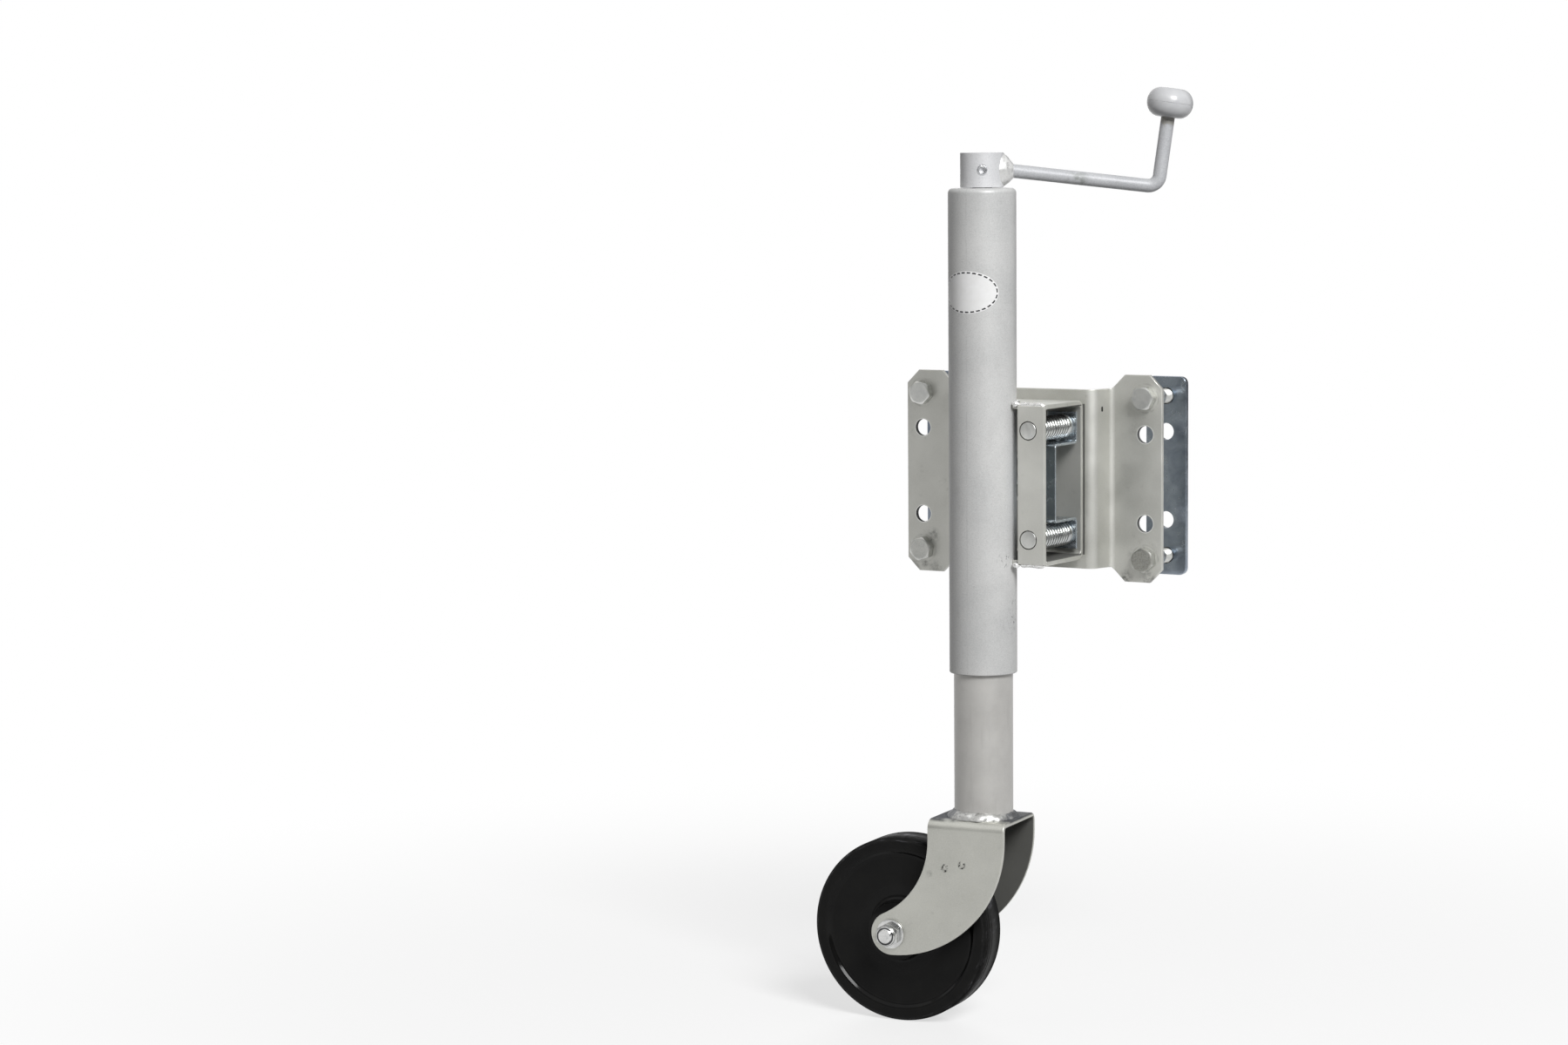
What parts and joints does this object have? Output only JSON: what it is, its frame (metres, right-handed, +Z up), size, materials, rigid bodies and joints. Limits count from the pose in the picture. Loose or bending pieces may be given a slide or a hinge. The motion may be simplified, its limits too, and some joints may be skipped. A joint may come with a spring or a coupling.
{
  "type": "trailer tongue jack",
  "caption": "Side-mount swivel trailer jack: plated mount plate with clamp straps, screw-driven telescoping tube, top hand crank, sprung lock handle and a caster wheel.",
  "frame": {"origin": "middle of the mount plate's hole pattern, on the face that lies against the tongue", "axes": "+X along the tongue, +Y into the tongue, away from the jack, +Z up along the jack's tube"},
  "size_m": [0.2961, 0.2051, 0.7633],
  "materials": {
    "silver_paint": "satin silver paint",
    "dull_silver": "satin plated sheet steel",
    "bright_zinc": "bright zinc plate",
    "dark_steel": "oiled steel",
    "bronze": "machined bronze",
    "black_plastic": "moulded black plastic",
    "grey_plastic": "moulded light grey plastic",
    "white_nylon": "natural nylon"
  },
  "bodies": {
    "mount": {"mount_plate": "dull_silver", "left_strap": "bright_zinc", "right_strap": "bright_zinc", "clamp_bolts": "bright_zinc", "clamp_washers": "bright_zinc", "clamp_nuts": "bright_zinc", "pivot_bolt": "bright_zinc", "pivot_spacer": "bright_zinc", "pivot_washer": "bright_zinc", "pivot_nut": "bright_zinc"},
    "jack": {"outer_tube": "silver_paint", "bearing_plate": "dark_steel", "upper_race": "dark_steel", "swivel_frame": "dull_silver", "front_plate": "dull_silver", "upper_lock_spring": "bright_zinc", "lower_lock_spring": "bright_zinc"},
    "crank": {"crank_hub": "silver_paint", "crank_arm": "silver_paint", "roll_pin": "bright_zinc", "lead_screw": "dark_steel", "thrust_collar": "dark_steel", "collar_pin": "bright_zinc", "lower_race": "dark_steel", "bearing_balls": "bright_zinc", "ball_cage": "bronze"},
    "knob": {"knob": "grey_plastic"},
    "lift": {"lift_nut": "bronze", "nut_clip": "bright_zinc"},
    "caster": {"inner_tube": "dull_silver", "nut_seat": "dark_steel", "fork": "dull_silver", "axle_bolt": "bright_zinc", "axle_washers": "bright_zinc", "axle_nut": "bright_zinc", "axle_nut_ring": "white_nylon", "axle_sleeve": "bright_zinc", "side_washers": "bright_zinc"},
    "wheel": {"wheel": "black_plastic", "wheel_bush": "white_nylon"},
    "lock": {"pull_handle": "bright_zinc", "upper_lock_pin": "bright_zinc", "lower_lock_pin": "bright_zinc", "spring_washers": "bright_zinc"}
  },
  "joints": [
    {"name": "jack_swivel", "type": "hinge", "parent": "mount", "child": "jack", "pos_m": [0, -0.03, 0], "axis": [0, 1, 0], "range_deg": [-90, 90]},
    {"name": "crank_turn", "type": "hinge", "parent": "jack", "child": "crank", "pos_m": [0, -0.092, 0.25], "axis": [0, 0, -1], "range_deg": [-9360, 13320]},
    {"name": "lift_slide", "type": "slide", "parent": "jack", "child": "lift", "axis": [0, 0, -1], "range_m": [-0.1041, 0.1481]},
    {"name": "caster_swivel", "type": "hinge", "parent": "lift", "child": "caster", "pos_m": [0, -0.092, -0.27], "axis": [0, 0, 1], "continuous": true},
    {"name": "wheel_spin", "type": "hinge", "parent": "caster", "child": "wheel", "pos_m": [-0.06769, -0.09852, -0.3695], "axis": [-0.0958, 0.9954, 0], "continuous": true},
    {"name": "knob_spin", "type": "hinge", "parent": "crank", "child": "knob", "pos_m": [0.13279, -0.02139, 0.30474], "axis": [0.1229, 0.0653, 0.9903], "continuous": true},
    {"name": "lock_pull", "type": "slide", "parent": "jack", "child": "lock", "axis": [0, -1, 0], "range_m": [-0.0035, 0.004], "stiffness_N_per_m": 1500, "springref_m": -0.008, "deforming": ["upper_lock_spring", "lower_lock_spring"]}
  ],
  "couplings": [
    {"joint": "lift_slide", "follows": "crank_turn", "m_per_rad": 0.00063662}
  ]
}
